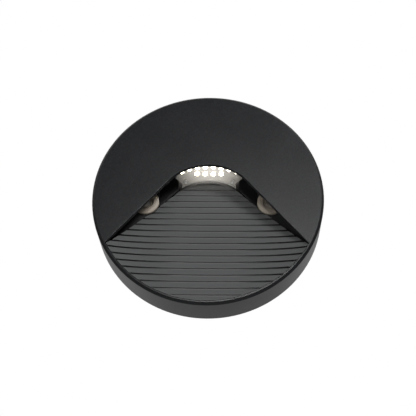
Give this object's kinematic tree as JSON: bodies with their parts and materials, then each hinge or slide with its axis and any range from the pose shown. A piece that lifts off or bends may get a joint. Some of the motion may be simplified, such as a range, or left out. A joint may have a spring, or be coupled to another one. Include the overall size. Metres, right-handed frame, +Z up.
{
  "type": "step light",
  "caption": "Round surface-mounted step light: a hooded pull-off cover with a bell-shaped opening, a ribbed ramp and a lit throat under the hood.",
  "frame": {"origin": "centre of the round back face, on the wall", "axes": "+Z up, +Y back into the wall, +X to the right seen from the front"},
  "size_m": [0.11, 0.0203, 0.11],
  "materials": {
    "cover_paint": "matt",
    "ramp_paint": "matt",
    "casting_paint": "matt",
    "screw_steel": "satin",
    "spring_steel": "satin",
    "bush_nylon": "satin",
    "lens_clear": "clear",
    "frame_black": "satin",
    "led_package": "satin",
    "reflector_white": "satin",
    "board_white": "satin",
    "board_green": "satin",
    "pad_grey": "matt",
    "seal_rubber": "matt",
    "transformer_core": "matt",
    "capacitor_sleeve": "gloss",
    "chip_black": "matt",
    "terminal_plastic": "satin",
    "terminal_brass": "satin",
    "lead_brown": "satin",
    "lead_blue": "satin",
    "lead_red": "satin",
    "lead_black": "satin"
  },
  "bodies": {
    "base": {"ribbed_ramp": "ramp_paint", "ramp_screws": "screw_steel", "base_casting": "casting_paint", "fixing_bush_left": "bush_nylon", "fixing_bush_right": "bush_nylon", "led_board": "board_white", "thermal_pad": "pad_grey", "led_1": "led_package", "led_2": "led_package", "led_3": "led_package", "led_4": "led_package", "led_5": "led_package", "led_6": "led_package", "led_7": "led_package", "led_8": "led_package", "led_9": "led_package", "led_10": "led_package", "led_11": "led_package", "led_12": "led_package", "led_board_screws": "screw_steel", "reflector": "reflector_white", "lens_gasket": "seal_rubber", "lens": "lens_clear", "lens_frame": "frame_black", "lens_frame_screws": "screw_steel", "driver_lid_gasket": "seal_rubber", "driver_lid": "casting_paint", "driver_lid_screws": "screw_steel", "driver_board": "board_green", "driver_board_screws": "screw_steel", "driver_transformer": "transformer_core", "driver_capacitor": "capacitor_sleeve", "driver_choke": "transformer_core", "driver_chips": "chip_black", "terminal_block": "terminal_plastic", "terminal_screws": "terminal_brass", "supply_lead_live": "lead_brown", "supply_lead_neutral": "lead_blue", "led_lead_plus": "lead_red", "led_lead_minus": "lead_black", "cable_grommet": "seal_rubber", "back_gasket": "seal_rubber", "cover_seal": "seal_rubber", "cover_spring_1": "spring_steel", "cover_spring_2": "spring_steel", "cover_spring_3": "spring_steel", "spring_rivets": "spring_steel"},
    "cover": {"front_cover": "cover_paint"}
  },
  "joints": [
    {"name": "cover_pull", "type": "slide", "parent": "base", "child": "cover", "axis": [0, -1, 0], "range_m": [0, 0.03]}
  ]
}
